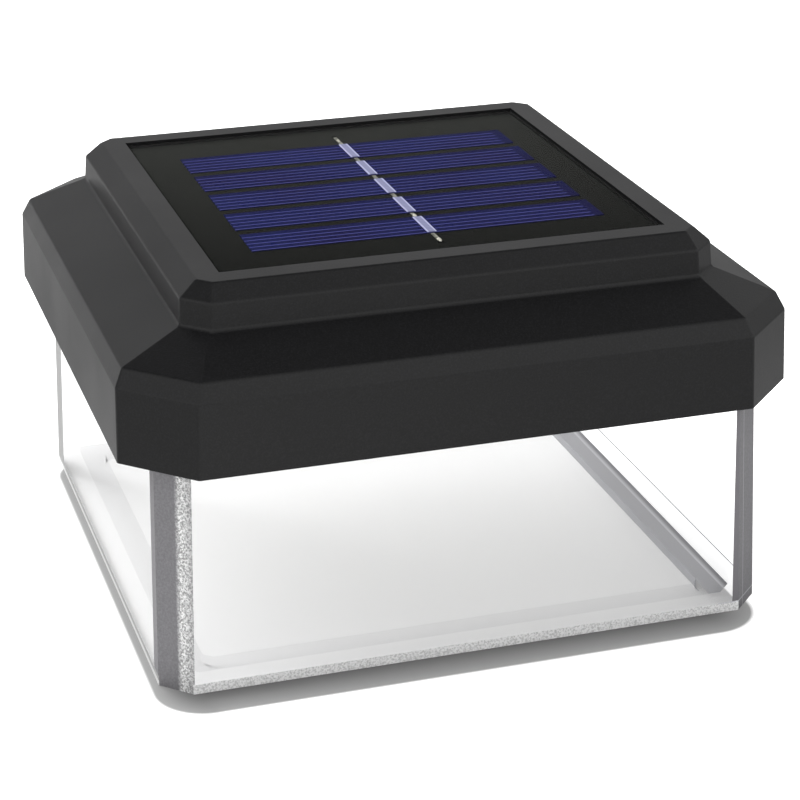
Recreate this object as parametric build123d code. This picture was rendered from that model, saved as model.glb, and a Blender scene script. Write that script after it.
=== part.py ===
from build123d import *
import math
import os

# Solar fence light that stands on a square post: a black cap over a clear square lens.
# Millimetres. Z is up, Z = 0 is the bottom rim of the lens, the front wall faces -Y.

os.makedirs("parts", exist_ok=True)


def save(name, *solids):
    """Write the solids of one named piece to its own STEP file."""
    shape = solids[0] if len(solids) == 1 else Compound(children=list(solids))
    shape.label = name
    export_step(shape, "parts/" + name + ".step")


def ring(half, leg, z):
    """Corners of a square whose four corners are cut at 45 degrees by the given leg."""
    side = half - leg
    flat = [(-side, -half), (side, -half), (half, -side), (half, side),
            (side, half), (-side, half), (-half, side), (-half, -side)]
    return [Vector(x, y, z) for x, y in flat]


def circle(radius, z):
    """Corners of a small round outline, drawn with twelve sides to keep the model light."""
    turns = [i * math.pi / 6 for i in range(12)]
    return [Vector(radius * math.cos(turn), radius * math.sin(turn), z) for turn in turns]


def stack(rings):
    """Solid with flat facets between outlines that have the same number of corners."""
    faces = [Face(Wire.make_polygon(rings[0][::-1])), Face(Wire.make_polygon(rings[-1]))]
    for low, high in zip(rings, rings[1:]):
        for i in range(len(low)):
            j = (i + 1) % len(low)
            faces.append(Face(Wire.make_polygon([low[i], low[j], high[j], high[i]])))
    return Solid(Shell(faces))


def tiers(levels):
    """Solid between cut-corner squares, given as (half, leg, z) from the bottom up."""
    return stack([ring(*level) for level in levels])


def turned(levels):
    """Small turned solid, given as (radius, z) from the bottom up."""
    return stack([circle(*level) for level in levels])


def inset(half, leg, wall):
    """The same cut-corner square moved inwards by a wall on all eight sides."""
    return half - wall, max(leg - wall * (2 - math.sqrt(2)), 0.3)


def block(x0, x1, y0, y1, z0, z1):
    """Box between two corners."""
    centre = ((x0 + x1) / 2, (y0 + y1) / 2, (z0 + z1) / 2)
    return Pos(*centre) * Box(x1 - x0, y1 - y0, z1 - z0)


def rod(x, y, z0, z1, radius):
    """Upright pin, boss or hole between two heights."""
    return Pos(x, y, 0) * turned([(radius, z0), (radius, z1)])


def rod_x(x0, x1, y, z, radius):
    """Cylinder lying along X."""
    return Pos((x0 + x1) / 2, y, z) * Rot(0, 90, 0) * Cylinder(radius, x1 - x0)


def only(shape):
    """The single solid of a result."""
    found = shape.solids()
    assert len(found) == 1, len(found)
    return found[0]


# ---------------------------------------------------------------- cap outline
# The cap's levels are set one from the next: how far each tier steps in and how high it rises.
cap_wall = 2.2
skirt_half = 54.0
skirt_leg = 10.1
skirt_z = 37.3
skirt_draft = 0.35
skirt_height = 11.7
bevel_run = 1.35
bevel_height = 2.8
slope_run = 9.5
slope_height = 4.0
plinth_leg = 3.9
plinth_draft = 0.3
plinth_height = 4.2
crown_run = 2.7
crown_height = 2.4
edge_round = 0.8
shoulder_half = skirt_half - skirt_draft
shoulder_z = skirt_z + skirt_height
slope_low_half = shoulder_half - bevel_run
slope_low_leg = skirt_leg - 0.4
slope_low_z = shoulder_z + bevel_height
plinth_half = slope_low_half - slope_run
plinth_z = slope_low_z + slope_height
plinth_top_half = plinth_half - plinth_draft
plinth_top_z = plinth_z + plinth_height
rim_half = plinth_top_half - crown_run
rim_leg = plinth_leg - 1.8
rim_z = plinth_top_z + crown_height

rim_width = 4.0
recess_depth = 2.8
recess_floor = 1.8
recess_half = rim_half - rim_width
recess_floor_z = rim_z - recess_depth
roof_z = recess_floor_z - recess_floor

# ---------------------------------------------------------------- lens outline
lens_gap = 2.0
lens_half = skirt_half - cap_wall - lens_gap
lens_leg = 4.6
lens_draft = 1.3
lens_top = 43.0
lens_wall = 3.4
lens_taper = 0.4
lip_height = 1.6
lip_width = 8.0
lens_top_half = lens_half - lens_draft
lip_open_half = lens_half - lip_width

# ---------------------------------------------------------------- solar panel stack
tape_thick = 0.4
tape_inset_x = 2.5
tape_inset_y = 7.5
tape_band = 10.0
board_gap = 0.3
board_thick = 1.4
cell_thick = 0.2
tab_thick = 0.1
panel_sunk = 0.3
cell_count = 5
cell_space = 2.45
cell_margin_y = 9.85
cell_margin_left = 7.3
cell_margin_right = 5.8
tab_x = 0.85
tab_width = 1.5
tab_short = 0.4
ribbon_width = 0.6
lead_margin_back = 4.35
lead_margin_front = 5.35
lead_hole = 0.5
lead_way = 2.4
board_half = recess_half - board_gap
cell_x0 = -board_half + cell_margin_left
cell_x1 = board_half - cell_margin_right
cell_pitch = (2 * board_half - 2 * cell_margin_y + cell_space) / cell_count
cell_height = cell_pitch - cell_space
tab_height = cell_height - tab_short
lead_y = (board_half - lead_margin_back, -board_half + lead_margin_front)

# ---------------------------------------------------------------- base plate and screws
gasket_thick = 1.0
gasket_margin = 0.4
gasket_width = 2.4
plate_gap = 0.85
plate_thick = 2.0
plate_half = shoulder_half - cap_wall - plate_gap
plate_leg = skirt_leg - 1.1
plate_z = lens_top + gasket_thick
plate_top = plate_z + plate_thick

boss_inset = 11.0
boss_radius = 3.5
boss_hole_depth = 7.0
boss_xy = lens_top_half - boss_inset
ear_thick = 2.0
ear_corner = lens_top_half - 1.5
ear_reach = 2 * boss_xy - 5.0
screw_shank = 1.45
screw_fit = 0.05
screw_pass = 0.35
screw_head = 2.7
screw_head_height = 1.9
screw_length = 10.5

# ---------------------------------------------------------------- battery, well and door
battery_radius = 7.1
battery_length = 48.8
battery_nub = 1.2
battery_x0 = 0.4 - battery_length / 2
battery_x1 = battery_x0 + battery_length
battery_axis_y = 20.0
battery_axis_z = roof_z - battery_radius - 0.5
spring_space = 5.0
strip_thick = 0.4
well_wall = 1.6
well_gap = 0.7
well_x0 = battery_x0 - spring_space
well_x1 = battery_x1 + battery_nub + strip_thick + 0.1
well_y0 = battery_axis_y - battery_radius - well_gap
well_y1 = battery_axis_y + battery_radius + well_gap
well_high = roof_z - 0.8

door_thick = 1.6
door_z1 = battery_axis_z - battery_radius - 0.9
door_z0 = door_z1 - door_thick
well_low = door_z1 + 0.2
hinge_radius = 1.7
hinge_y = well_y1 + 4.0
hinge_z = (door_z0 + door_z1) / 2
pin_radius = 0.75
pin_fit = 0.05
knuckle_x = 10.0
knuckle_width = 8.0
lug_gap = 0.3
lug_width = 6.0
rib_gap = 0.25
rib_height = 0.8
rib_wall = 1.2
cradle_x = 12.0
cradle_half = 4.5
cradle_height = 2.2

# ---------------------------------------------------------------- circuit board and lamps
pcb_x = 24.0
pcb_y0 = -27.0
pcb_depth = 28.0
pcb_y1 = pcb_y0 + pcb_depth
post_height = 3.4
post_radius = 2.5
post_margin = 3.5
pcb_thick = 1.6
pcb_z0 = plate_top + post_height
pcb_z1 = pcb_z0 + pcb_thick
post_x = pcb_x - post_margin
post_y0 = pcb_y0 + post_margin
post_y1 = pcb_y1 - post_margin
small_shank = 0.85
small_head = 1.8
small_head_height = 1.3
small_length = 4.2
switch_screw_length = 3.2

led_x = 10.0
led_y = (-19.0, -7.0)
led_radius = 2.5
led_flange = 2.9
led_flange_height = 1.0
led_body = 5.1
led_pass = 0.4
led_flange_z = plate_top + 1.4
led_dome_z = led_flange_z - led_body
lead_gap = 1.27

switch_margin = 17.6
switch_x = plate_half - switch_margin
switch_y = -12.0
switch_travel = 2.0
switch_reach = 7.5
terminal_height = 6.6
wire_radius = 0.6
bend_radius = 1.0


# ---------------------------------------------------------------- cap shell
# Injection-moulded black cap: a flared skirt, a narrow bevel, a gentle slope up to a plinth
# and a flat rim around the panel recess. The hollow inside follows the same tiers.
outer = tiers([
    (skirt_half, skirt_leg, skirt_z),
    (shoulder_half, skirt_leg, shoulder_z),
    (slope_low_half, slope_low_leg, slope_low_z),
    (plinth_half, plinth_leg, plinth_z),
    (plinth_top_half, plinth_leg, plinth_top_z),
    (rim_half, rim_leg, rim_z),
])
outer = fillet([e for e in outer.edges() if e.bounding_box().max.Z > skirt_z + 1], edge_round)
hollow = tiers([
    (*inset(skirt_half, skirt_leg, cap_wall), skirt_z - 1),
    (*inset(shoulder_half, skirt_leg, cap_wall), shoulder_z - 1.2),
    (*inset(slope_low_half, slope_low_leg, cap_wall), slope_low_z - 1.6),
    (*inset(plinth_half, plinth_leg, cap_wall), plinth_z - 1.6),
    (*inset(plinth_top_half, plinth_leg, cap_wall), roof_z),
])
cap = outer - hollow
for sx in (-1, 1):
    for sy in (-1, 1):
        x = sx * boss_xy
        y = sy * boss_xy
        cap += outer & rod(x, y, plate_top, rim_z, boss_radius)
        cap -= rod(x, y, plate_top - 1, plate_top + boss_hole_depth, screw_shank + screw_fit)
cap -= block(-recess_half, recess_half, -recess_half, recess_half, recess_floor_z, rim_z + 1)
for y in lead_y:
    cap -= rod(tab_x, y, roof_z - 1, recess_floor_z + 1, lead_way)
save("cap_shell", only(cap))

# ---------------------------------------------------------------- solar panel
# A black board stuck into the recess with foam tape. Five cell strips lie on it, each with a
# silver bus tab in the middle, joined by thin ribbons and covered by clear resin.
tape_top = recess_floor_z + tape_thick
board_top = tape_top + board_thick
cell_top = board_top + cell_thick
cover_top = rim_z - panel_sunk


def strip_y(i):
    """Middle of a cell strip, counted from the front."""
    return (i - (cell_count - 1) / 2) * cell_pitch


tape_x = board_half - tape_inset_x
tape_y = board_half - tape_inset_y
tape = block(-tape_x, tape_x, -tape_y, tape_y, recess_floor_z, tape_top)
tape -= block(-tape_x + tape_band, tape_x - tape_band, -tape_y + tape_band, tape_y - tape_band,
              recess_floor_z - 1, tape_top + 1)
save("panel_tape", only(tape))

board = block(-board_half, board_half, -board_half, board_half, tape_top, board_top)
for y in lead_y:
    board -= rod(tab_x, y, tape_top - 1, board_top + 1, lead_hole)
save("solar_board", only(board))

cells = []
tabs = []
ribbons = []
for i in range(cell_count):
    y = strip_y(i)
    cells.append(block(cell_x0, cell_x1, y - cell_height / 2, y + cell_height / 2,
                       board_top, cell_top))
    tabs.append(block(tab_x - tab_width / 2, tab_x + tab_width / 2,
                      y - tab_height / 2, y + tab_height / 2, cell_top, cell_top + tab_thick))
for i in range(cell_count - 1):
    y0 = strip_y(i) + cell_height / 2
    y1 = strip_y(i + 1) - cell_height / 2
    ribbons.append(block(tab_x - ribbon_width / 2, tab_x + ribbon_width / 2,
                         y0, y1, board_top, board_top + tab_thick))
back_edge = strip_y(cell_count - 1) + cell_height / 2
front_edge = strip_y(0) - cell_height / 2
ribbons.append(block(tab_x - ribbon_width / 2, tab_x + ribbon_width / 2,
                     back_edge, lead_y[0] - lead_hole - 0.1, board_top, board_top + tab_thick))
ribbons.append(block(tab_x - ribbon_width / 2, tab_x + ribbon_width / 2,
                     lead_y[1] + lead_hole + 0.1, front_edge, board_top, board_top + tab_thick))
save("solar_cells", *[only(c) for c in cells])
save("bus_tabs", *[only(t) for t in tabs])
save("bus_ribbons", *[only(r) for r in ribbons])

cover = block(-board_half, board_half, -board_half, board_half, board_top, cover_top)
for piece in cells + tabs + ribbons:
    cover -= piece
for y in lead_y:
    cover -= rod(tab_x, y, board_top - 1, board_top + 0.3, lead_hole)
save("panel_cover", only(cover))

seal_z1 = cover_top - 0.2
sealant = block(-recess_half, recess_half, -recess_half, recess_half, tape_top, seal_z1)
sealant -= block(-board_half, board_half, -board_half, board_half, tape_top - 1, seal_z1 + 1)
save("panel_sealant", only(sealant))

# ---------------------------------------------------------------- lens
# Clear moulded sleeve, wider at the bottom, with cut corners, an inward lip at the bottom
# and four screw ears at the top.
lens = tiers([(lens_half, lens_leg, 0), (lens_top_half, lens_leg, lens_top)])
outline = lens
lens -= tiers([
    (*inset(lens_half, lens_leg, lens_wall + lens_taper), lip_height),
    (*inset(lens_top_half, lens_leg, lens_wall - lens_taper), lens_top + 1),
])
lens -= tiers([(lip_open_half, 1.4, -1), (lip_open_half, 1.4, lip_height + 1)])
for sx in (-1, 1):
    for sy in (-1, 1):
        far = ear_reach - ear_corner
        corner = [(sx * ear_corner, sy * ear_corner), (sx * far, sy * ear_corner),
                  (sx * ear_corner, sy * far)]
        ear = extrude(Plane.XY.offset(lens_top - ear_thick) * make_face(Polyline(*corner, close=True)),
                      ear_thick)
        ear = ear & outline
        ear -= rod(sx * boss_xy, sy * boss_xy, lens_top - 5, lens_top + 1, screw_shank + screw_pass)
        lens += ear
save("lens_sleeve", only(lens))

gasket_out = inset(lens_top_half, lens_leg, gasket_margin)
gasket_in = inset(lens_top_half, lens_leg, gasket_margin + gasket_width)
gasket = tiers([(*gasket_out, lens_top), (*gasket_out, plate_z)])
gasket -= tiers([(*gasket_in, lens_top - 1), (*gasket_in, plate_z + 1)])
save("lens_gasket", only(gasket))


def pan_screw(x, y, under_head, shank_radius, head_radius, head_height, length, up, recess):
    """Pan-head screw, with or without its cross recess; up is +1 when the shank points up."""
    edge = head_height * 0.35
    point = shank_radius * 0.35
    shape = turned([(head_radius - edge, -head_height), (head_radius, edge - head_height),
                    (head_radius, 0), (shank_radius, 0), (shank_radius, length - point),
                    (shank_radius - point, length)])
    for turn in (0, 90) if recess else ():
        shape -= Pos(0, 0, -head_height) * Rot(0, 0, turn) * Box(head_radius * 1.1, head_radius * 0.28,
                                                                 head_height)
    if up < 0:
        shape = Rot(180, 0, 0) * shape
    return Pos(x, y, under_head) * shape


screws = []
for sx in (-1, 1):
    for sy in (-1, 1):
        screws.append(only(pan_screw(sx * boss_xy, sy * boss_xy, lens_top - ear_thick, screw_shank,
                                     screw_head, screw_head_height, screw_length, 1, True)))
save("lens_screws", *screws)

# ---------------------------------------------------------------- base plate
# White moulded plate that closes the cap from below and reflects the light. It carries the
# battery well, the hinge lugs, the board posts, the lamp holes and the switch slot.
plate = tiers([(plate_half, plate_leg, plate_z), (plate_half, plate_leg, plate_top)])
for sx in (-1, 1):
    for sy in (-1, 1):
        x = sx * boss_xy
        y = sy * boss_xy
        plate += rod(x, y, lens_top, plate_z, boss_radius)
        plate -= rod(x, y, lens_top - 1, plate_top + 1, screw_shank + screw_pass)
plate += block(well_x0 - well_wall, well_x1 + well_wall, well_y0 - well_wall, well_y1 + well_wall,
               well_low, well_high)
plate -= block(well_x0, well_x1, well_y0, well_y1, well_low - 1, well_high + 1)
notch_half = 1.6
notch_z = battery_axis_z + 3.4
for x0, x1 in ((well_x0 - well_wall - 1, well_x0 + 0.2), (well_x1 - 0.2, well_x1 + well_wall + 1)):
    plate -= block(x0, x1, battery_axis_y - notch_half, battery_axis_y + notch_half,
                   notch_z, well_high + 1)
knuckle_reach = knuckle_x + knuckle_width / 2 + lug_gap
lug_spans = [(-knuckle_reach - lug_width, -knuckle_reach),
             (-knuckle_x + knuckle_width / 2 + lug_gap, knuckle_x - knuckle_width / 2 - lug_gap),
             (knuckle_reach, knuckle_reach + lug_width)]
for x0, x1 in lug_spans:
    lug = block(x0, x1, hinge_y - hinge_radius, hinge_y + hinge_radius, hinge_z, plate_z + 0.5)
    lug += rod_x(x0, x1, hinge_y, hinge_z, hinge_radius)
    plate += lug
    plate -= rod_x(x0 - 0.5, x1 + 0.5, hinge_y, hinge_z, pin_radius + pin_fit)
board_posts = [(sx * post_x, y) for sx in (-1, 1) for y in (post_y0, post_y1)]
for x, y in board_posts:
    plate += rod(x, y, plate_top - 0.5, pcb_z0, post_radius)
    plate -= rod(x, y, plate_top + 0.3, pcb_z0 + 1, small_shank + screw_fit)
lamp_spots = [(sx * led_x, y) for sx in (-1, 1) for y in led_y]
for x, y in lamp_spots:
    plate -= Pos(x, y, 0) * turned([(5.2, plate_z), (led_radius + led_pass, plate_top - 0.6)])
    plate -= rod(x, y, plate_z - 1, plate_top + 1, led_radius + led_pass)
switch_holes = [(switch_x, switch_y + s * switch_reach) for s in (-1, 1)]
for x, y in switch_holes:
    plate += rod(x, y, plate_z - 1.6, plate_z + 0.5, 2.4)
    plate -= rod(x, y, plate_z - 1.0, plate_top + 1, small_shank + screw_fit)
plate -= block(switch_x - 1.5, switch_x + 1.5, switch_y - 2.6, switch_y + 2.6, plate_z - 1, plate_top + 1)
save("base_plate", only(plate))

# ---------------------------------------------------------------- battery and its contacts
battery = rod_x(battery_x0, battery_x1, battery_axis_y, battery_axis_z, battery_radius)
battery = chamfer(battery.edges(), 0.6)
battery += rod_x(battery_x1 - 0.5, battery_x1 + battery_nub, battery_axis_y, battery_axis_z, 2.7)
groove = rod_x(battery_x1 - 2.6, battery_x1 - 1.8, battery_axis_y, battery_axis_z, battery_radius + 1)
groove -= rod_x(battery_x1 - 2.6, battery_x1 - 1.8, battery_axis_y, battery_axis_z, battery_radius - 0.4)
battery -= groove
save("battery_cell", only(battery))


def contact(x, outward):
    """Strip contact on an end wall, with a solder tab through the notch in the wall."""
    inner = x - outward * strip_thick
    tip = x + outward * 4.6
    strip = block(min(x, inner), max(x, inner), battery_axis_y - 5, battery_axis_y + 5,
                  well_low + 2.0, well_high - 1.0)
    tab = block(min(inner, tip), max(inner, tip), battery_axis_y - notch_half + 0.4,
                battery_axis_y + notch_half - 0.4, notch_z + 0.4, notch_z + 0.4 + strip_thick)
    return strip + tab


positive = contact(well_x1, 1)
save("contact_positive", only(positive))
negative = contact(well_x0, -1)
save("contact_negative", only(negative))

coil_wire = 0.4
coil_turns = 3
coil_wide = 4.2
coil_narrow = 2.4
coil_x0 = well_x0 + strip_thick + coil_wire
coil_length = battery_x0 - coil_x0 - coil_wire - 0.1
coil_steps = 12 * coil_turns
coil_points = []
for i in range(coil_steps + 1):
    share = i / coil_steps
    angle = share * coil_turns * 2 * math.pi
    radius = coil_wide + (coil_narrow - coil_wide) * share
    coil_points.append((coil_x0 + coil_length * share, battery_axis_y + radius * math.cos(angle),
                        battery_axis_z + radius * math.sin(angle)))
path = Polyline(*coil_points)
section = Plane(origin=path @ 0, z_dir=path % 0) * RegularPolygon(coil_wire, 6)
spring = sweep(section, path=path, transition=Transition.RIGHT)
save("contact_spring", only(spring))

# ---------------------------------------------------------------- battery door and hinge pin
door = block(well_x0 - well_wall, well_x1 + well_wall, well_y0 - well_wall, hinge_y - 2.3, door_z0, door_z1)
door = fillet([e for e in door.edges().filter_by(Axis.Z) if e.center().Y < 15], 1.5)
door += block(-6, 6, well_y0 - well_wall - 2.2, well_y0, door_z0, door_z1)
rib = block(well_x0 + rib_gap, well_x1 - rib_gap, well_y0 + rib_gap, well_y1 - rib_gap,
            door_z1 - 0.1, door_z1 + rib_height)
rib_in = rib_gap + rib_wall
rib -= block(well_x0 + rib_in, well_x1 - rib_in, well_y0 + rib_in, well_y1 - rib_in,
             door_z1 - 1, door_z1 + rib_height + 1)
door += rib
for x in (-cradle_x, cradle_x):
    cradle = block(x - 0.6, x + 0.6, battery_axis_y - cradle_half, battery_axis_y + cradle_half,
                   door_z1 - 0.1, door_z1 + cradle_height)
    cradle -= rod_x(x - 2, x + 2, battery_axis_y, battery_axis_z, battery_radius + 0.3)
    door += cradle
for x in (-knuckle_x, knuckle_x):
    arm = block(x - knuckle_width / 2, x + knuckle_width / 2, hinge_y - 2.4, hinge_y, door_z0, door_z1)
    arm += rod_x(x - knuckle_width / 2, x + knuckle_width / 2, hinge_y, hinge_z, hinge_radius)
    door += arm
door -= rod_x(-knuckle_reach - 2, knuckle_reach + 2, hinge_y, hinge_z, pin_radius + pin_fit)
for i in range(5):
    x = -4 + 2 * i
    door -= block(x - 0.4, x + 0.4, well_y0 - well_wall - 1.8, well_y0 + 1.0, door_z0 - 1, door_z0 + 0.4)
save("battery_door", only(door))

pin = rod_x(lug_spans[0][0], lug_spans[2][1], hinge_y, hinge_z, pin_radius)
pin = chamfer(pin.edges(), 0.2)
save("hinge_pin", only(pin))

# ---------------------------------------------------------------- circuit board and its parts
pcb = block(-pcb_x, pcb_x, pcb_y0, pcb_y1, pcb_z0, pcb_z1)
for x, y in board_posts:
    pcb -= rod(x, y, pcb_z0 - 1, pcb_z1 + 1, small_shank + 0.35)
for x, y in lamp_spots:
    for s in (-1, 1):
        pcb -= rod(x + s * lead_gap, y, pcb_z0 - 1, pcb_z1 + 1, 0.45)
save("circuit_board", only(pcb))

board_screws = [only(pan_screw(x, y, pcb_z1, small_shank, small_head, small_head_height, small_length,
                               -1, False)) for x, y in board_posts]
save("board_screws", *board_screws)

dome_angles = [math.radians(degrees) for degrees in (80, 60, 40, 20, 0)]
dome = [(led_radius * math.cos(angle), -led_radius * math.sin(angle)) for angle in dome_angles]
lamps = []
lamp_leads = []
for x, y in lamp_spots:
    top = led_flange_z + led_flange_height - led_dome_z
    lamp = turned([*dome, (led_radius, led_body), (led_flange, led_body), (led_flange, top)])
    lamps.append(only(Pos(x, y, led_dome_z) * lamp))
    for s in (-1, 1):
        cx = x + s * lead_gap
        lamp_leads.append(only(block(cx - 0.25, cx + 0.25, y - 0.25, y + 0.25,
                                     led_flange_z + led_flange_height, pcb_z1 + 0.8)))
save("led_lamps", *lamps)
save("led_leads", *lamp_leads)

chip = block(-2.5, 2.5, -15, -11, pcb_z1 + 0.2, pcb_z1 + 1.7)
chip = chamfer(chip.edges().group_by(Axis.Z)[-1], 0.3)
for i in range(4):
    y = -13 + (i - 1.5) * 1.0
    for s in (-1, 1):
        chip += block(min(s * 2.3, s * 3.4), max(s * 2.3, s * 3.4), y - 0.2, y + 0.2, pcb_z1, pcb_z1 + 0.4)
save("driver_chip", only(chip))

core_x = 15.0
core_y = -13.0
core = turned([(3.2, 0), (3.2, 0.8), (1.6, 0.8), (1.6, 3.8), (3.2, 3.8), (3.2, 4.6)])
save("inductor_core", only(Pos(core_x, core_y, pcb_z1) * core))
coil = rod(core_x, core_y, pcb_z1 + 0.9, pcb_z1 + 3.7, 2.8) - rod(core_x, core_y, pcb_z1, pcb_z1 + 5, 1.9)
save("inductor_coil", only(coil))

can = turned([(2.5, pcb_z1), (2.5, pcb_z1 + 5.1), (2.2, pcb_z1 + 5.4)])
save("capacitor", only(Pos(-15, -13, 0) * can))

# ---------------------------------------------------------------- slide switch
sw_x0 = switch_x - 2.2
sw_x1 = switch_x + 2.2
body = block(sw_x0 - 0.3, sw_x1 + 0.3, switch_y - switch_reach - 2.3, switch_y + switch_reach + 2.3,
             plate_top, plate_top + 0.5)
body += block(sw_x0, sw_x1, switch_y - 4.3, switch_y + 4.3, plate_top, plate_top + 4.0)
body -= block(switch_x - 1.7, switch_x + 1.7, switch_y - 3.4, switch_y + 3.4,
              plate_top + 1.0, plate_top + 3.0)
body -= block(switch_x - 1.2, switch_x + 1.2, switch_y - 2.3, switch_y + 2.3, plate_top - 1, plate_top + 1.5)
for x, y in switch_holes:
    body -= rod(x, y, plate_top - 1, plate_top + 1, small_shank + 0.35)
for i in (-1, 0, 1):
    y = switch_y + i * 2.5
    body += block(switch_x - 0.3, switch_x + 0.3, y - 0.4, y + 0.4,
                  plate_top + 3.9, plate_top + terminal_height)
save("switch_body", only(body))

slider_y = switch_y - switch_travel / 2
slider = block(switch_x - 1.5, switch_x + 1.5, slider_y - 2.1, slider_y + 2.1,
               plate_top + 1.2, plate_top + 2.8)
slider += block(switch_x - 1.0, switch_x + 1.0, slider_y - 1.0, slider_y + 1.0,
                plate_z - 2.2, plate_top + 1.3)
slider = chamfer(slider.edges().group_by(Axis.Z)[0], 0.3)
save("switch_slider", only(slider))

switch_screws = [only(pan_screw(x, y, plate_top + 0.5, small_shank, small_head, small_head_height,
                                switch_screw_length, -1, False)) for x, y in switch_holes]
save("switch_screws", *switch_screws)


# ---------------------------------------------------------------- wires
def wire(*points):
    """Insulated wire in straight runs with rounded bends, drawn with six sides."""
    route = FilletPolyline(*points, radius=bend_radius)
    section = Plane(origin=route @ 0, z_dir=route % 0) * RegularPolygon(wire_radius, 6)
    return only(sweep(section, path=route))


tab_top = notch_z + 0.4 + strip_thick
low_run = roof_z - 3.3
high_run = roof_z - 1.6
tab_middle = 3.4
side_x = well_x1 + well_wall + 4.1
save("solar_wire_positive", wire((tab_x, lead_y[0], tape_top), (tab_x, lead_y[0], low_run),
                                 (side_x, lead_y[0], low_run), (side_x, 4.0, low_run),
                                 (21.0, -8.0, low_run), (21.0, -8.0, pcb_z1)))
save("solar_wire_negative", wire((tab_x, lead_y[1], tape_top), (tab_x, lead_y[1], low_run),
                                 (5.5, -24.5, low_run), (5.5, -24.5, pcb_z1)))
save("battery_wire_positive", wire((well_x1 + tab_middle, battery_axis_y, tab_top),
                                   (well_x1 + tab_middle, battery_axis_y, high_run),
                                   (well_x1 + tab_middle, 8.0, high_run), (14.0, -3.5, high_run),
                                   (14.0, -3.5, pcb_z1)))
save("battery_wire_negative", wire((well_x0 - tab_middle + 0.2, battery_axis_y, tab_top),
                                   (well_x0 - tab_middle + 0.2, battery_axis_y, high_run),
                                   (well_x0 - tab_middle + 0.2, 8.0, high_run), (-14.0, -3.5, high_run),
                                   (-14.0, -3.5, pcb_z1)))
terminal_top = plate_top + terminal_height
switch_wires = []
for i in (0, 1):
    y = switch_y + i * 2.5
    switch_wires.append(wire((switch_x, y, terminal_top), (switch_x, y, terminal_top + 2.6),
                             (22.2, y - 1.0, terminal_top + 2.6), (22.2, y - 1.0, pcb_z1)))
save("switch_wires", *switch_wires)
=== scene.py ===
import math

import bpy
from mathutils import Matrix, Vector


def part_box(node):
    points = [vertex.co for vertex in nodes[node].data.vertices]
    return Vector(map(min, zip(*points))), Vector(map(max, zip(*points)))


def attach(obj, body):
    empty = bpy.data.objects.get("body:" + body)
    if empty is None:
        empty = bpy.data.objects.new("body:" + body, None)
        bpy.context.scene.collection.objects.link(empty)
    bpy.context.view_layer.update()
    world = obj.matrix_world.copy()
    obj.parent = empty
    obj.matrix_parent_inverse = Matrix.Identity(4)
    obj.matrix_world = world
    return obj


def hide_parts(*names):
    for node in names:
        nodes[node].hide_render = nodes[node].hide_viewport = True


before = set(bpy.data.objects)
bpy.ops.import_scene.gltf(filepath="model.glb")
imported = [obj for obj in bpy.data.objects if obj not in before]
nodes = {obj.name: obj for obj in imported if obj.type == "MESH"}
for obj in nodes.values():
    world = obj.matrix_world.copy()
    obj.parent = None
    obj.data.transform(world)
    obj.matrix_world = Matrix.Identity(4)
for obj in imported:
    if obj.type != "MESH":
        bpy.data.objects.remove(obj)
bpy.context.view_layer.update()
bpy.ops.object.select_all(action="DESELECT")
scene = bpy.context.scene
scene.view_settings.view_transform = "Standard"

# ---------------------------------------------------------------- camera
# Stands left of the front wall and looks down on the cap, at the photograph's angle.
lens_mm = 107.0
stand = (-0.1081, -0.3628, 0.1798)
yaw = math.radians(17.054)
pitch = math.radians(22.482)
roll = math.radians(-0.428)
looking = Vector((math.cos(pitch) * math.sin(yaw), math.cos(pitch) * math.cos(yaw), -math.sin(pitch)))
level_right = Vector((math.cos(yaw), -math.sin(yaw), 0))
level_up = level_right.cross(looking)
right = math.cos(roll) * level_right + math.sin(roll) * level_up
up = -math.sin(roll) * level_right + math.cos(roll) * level_up
bpy.ops.object.camera_add()
camera = bpy.context.object
camera.data.sensor_width = 36.0
camera.data.lens = lens_mm
camera.data.clip_start = 0.01
turn = Matrix((right, up, -looking)).transposed().to_4x4()
camera.matrix_world = Matrix.Translation(stand) @ turn
scene.camera = camera


# ---------------------------------------------------------------- studio floor
# White paper sweep that the light stands on. It shows pure white away from the light, with a narrow
# grey shadow painted along the foot of the lens and a duller patch of painted shade inside it.
below_foot = 0.00005
shadow_centre = (-0.0017, -0.0060)
shadow_half = (0.0413, 0.0420, 0)
shadow_reach = 0.010
foot_half = 0.0497
foot_corner = 0.0949
right_wall_inside = 0.0463


def linear(code):
    """Linear colour with alpha from an sRGB hex code."""
    parts = [int(code[i:i + 2], 16) / 255 for i in (1, 3, 5)]
    return [c / 12.92 if c <= 0.04045 else ((c + 0.055) / 1.055) ** 2.4 for c in parts] + [1.0]


def put(tree, kind, sockets=None, **settings):
    """Adds a node, sets its properties, and fills its sockets with values or other nodes' outputs."""
    node = tree.nodes.new("ShaderNode" + kind)
    for name, value in settings.items():
        setattr(node, name, value)
    for name, value in (sockets or {}).items():
        if isinstance(value, bpy.types.NodeSocket):
            tree.links.new(value, node.inputs[name])
        else:
            node.inputs[name].default_value = value
    return node


def new_material(name):
    """Empty material with its output node; gives the material, its tree and the output."""
    material = bpy.data.materials.new(name)
    material.use_nodes = True
    material.node_tree.nodes.clear()
    return material, material.node_tree, put(material.node_tree, "OutputMaterial")


bpy.ops.mesh.primitive_plane_add(size=6.0, location=(0, 0, -below_foot))
floor = bpy.context.object
floor.name = "floor"
bpy.ops.object.transform_apply(location=True, rotation=True, scale=True)
paper_white, tree, out = new_material("white_paper_sweep")
where = put(tree, "TexCoord")
at = put(tree, "SeparateXYZ", {"Vector": where.outputs["Object"]})
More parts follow.
